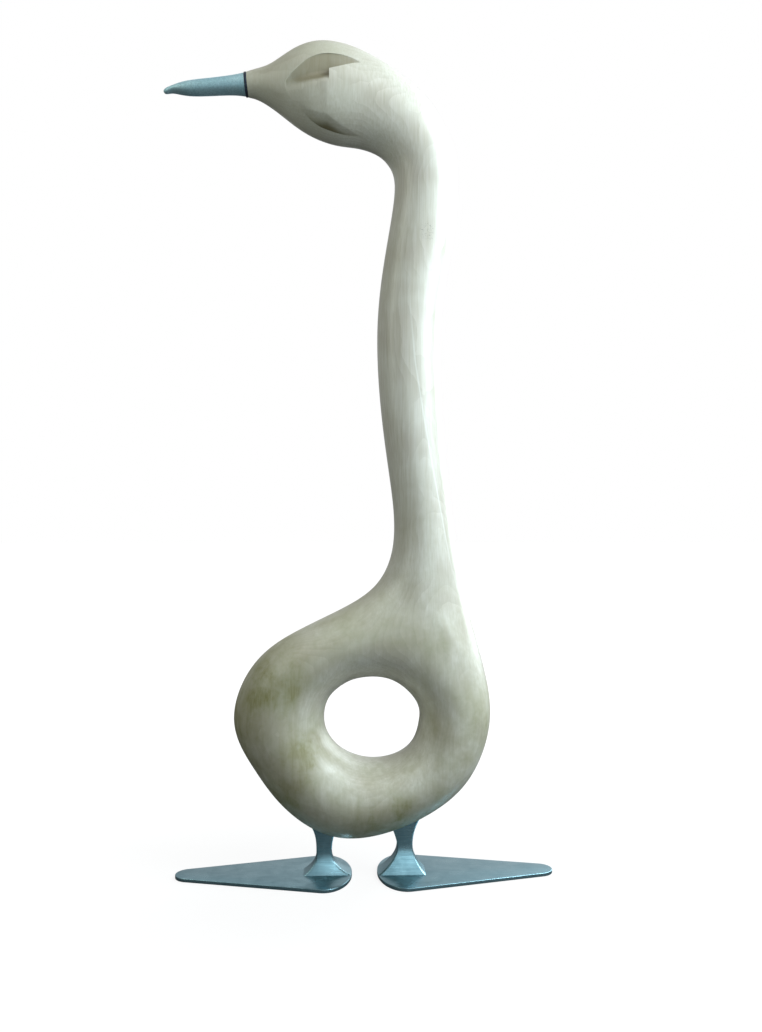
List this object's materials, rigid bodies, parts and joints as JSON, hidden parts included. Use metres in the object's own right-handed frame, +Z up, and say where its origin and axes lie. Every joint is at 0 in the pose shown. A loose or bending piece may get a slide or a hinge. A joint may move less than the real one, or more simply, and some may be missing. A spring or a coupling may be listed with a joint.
{
  "type": "carved wooden goose",
  "caption": "Standing goose carved from pale wood, with a long curved neck and an oval hole through its body, on metal legs and flat feet, with a metal beak.",
  "frame": {"origin": "on the ground, under the middle of the bounding box", "axes": "+Z up, -X where the goose looks, and the plane y = 0 halves the goose"},
  "size_m": [0.3883, 0.098, 0.8307],
  "materials": {
    "wood": "satin, whitewashed, with a worn olive-grey patina",
    "metal": "satin, blue-grey",
    "ring": "dark, satin"
  },
  "bodies": {
    "root": {"goose_carving": "wood", "beak": "metal", "beak_ring": "ring", "leg_left": "metal", "leg_right": "metal", "foot_left": "metal", "foot_right": "metal"}
  },
  "joints": []
}
